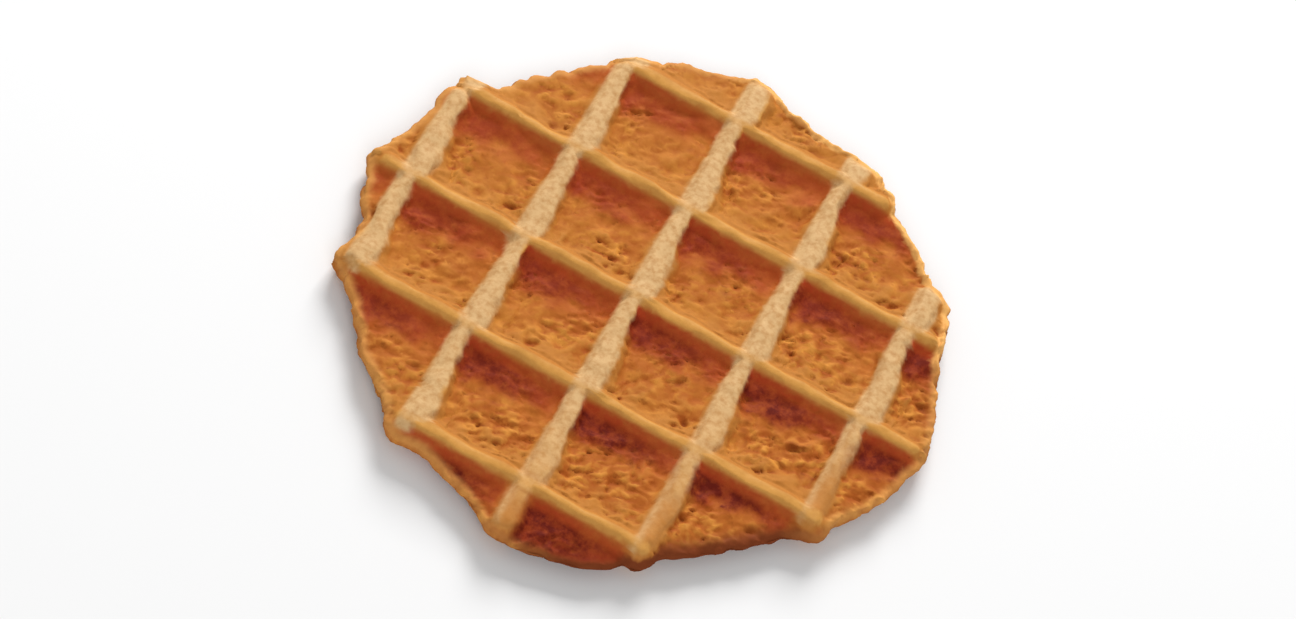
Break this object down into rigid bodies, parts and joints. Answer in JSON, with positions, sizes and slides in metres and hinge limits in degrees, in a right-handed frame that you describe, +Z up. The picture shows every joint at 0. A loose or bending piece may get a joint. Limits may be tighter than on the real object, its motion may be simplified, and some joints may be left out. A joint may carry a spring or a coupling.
{
  "type": "butter wafer",
  "caption": "Thin round butter wafer pressed between gridded irons, with square rib grids on both faces and a wavy golden-brown rim.",
  "frame": {"origin": "middle of the wafer's box, on the surface it lies on", "axes": "+Z up through the wafer's thickness, +X and +Y along its two sets of ribs"},
  "size_m": [0.0694, 0.0708, 0.0039],
  "materials": {
    "baked_wafer": "dry baked butter dough: paler ribs, golden-brown porous cells, browner rim"
  },
  "bodies": {
    "root": {"butter_wafer": "baked_wafer"}
  },
  "joints": []
}
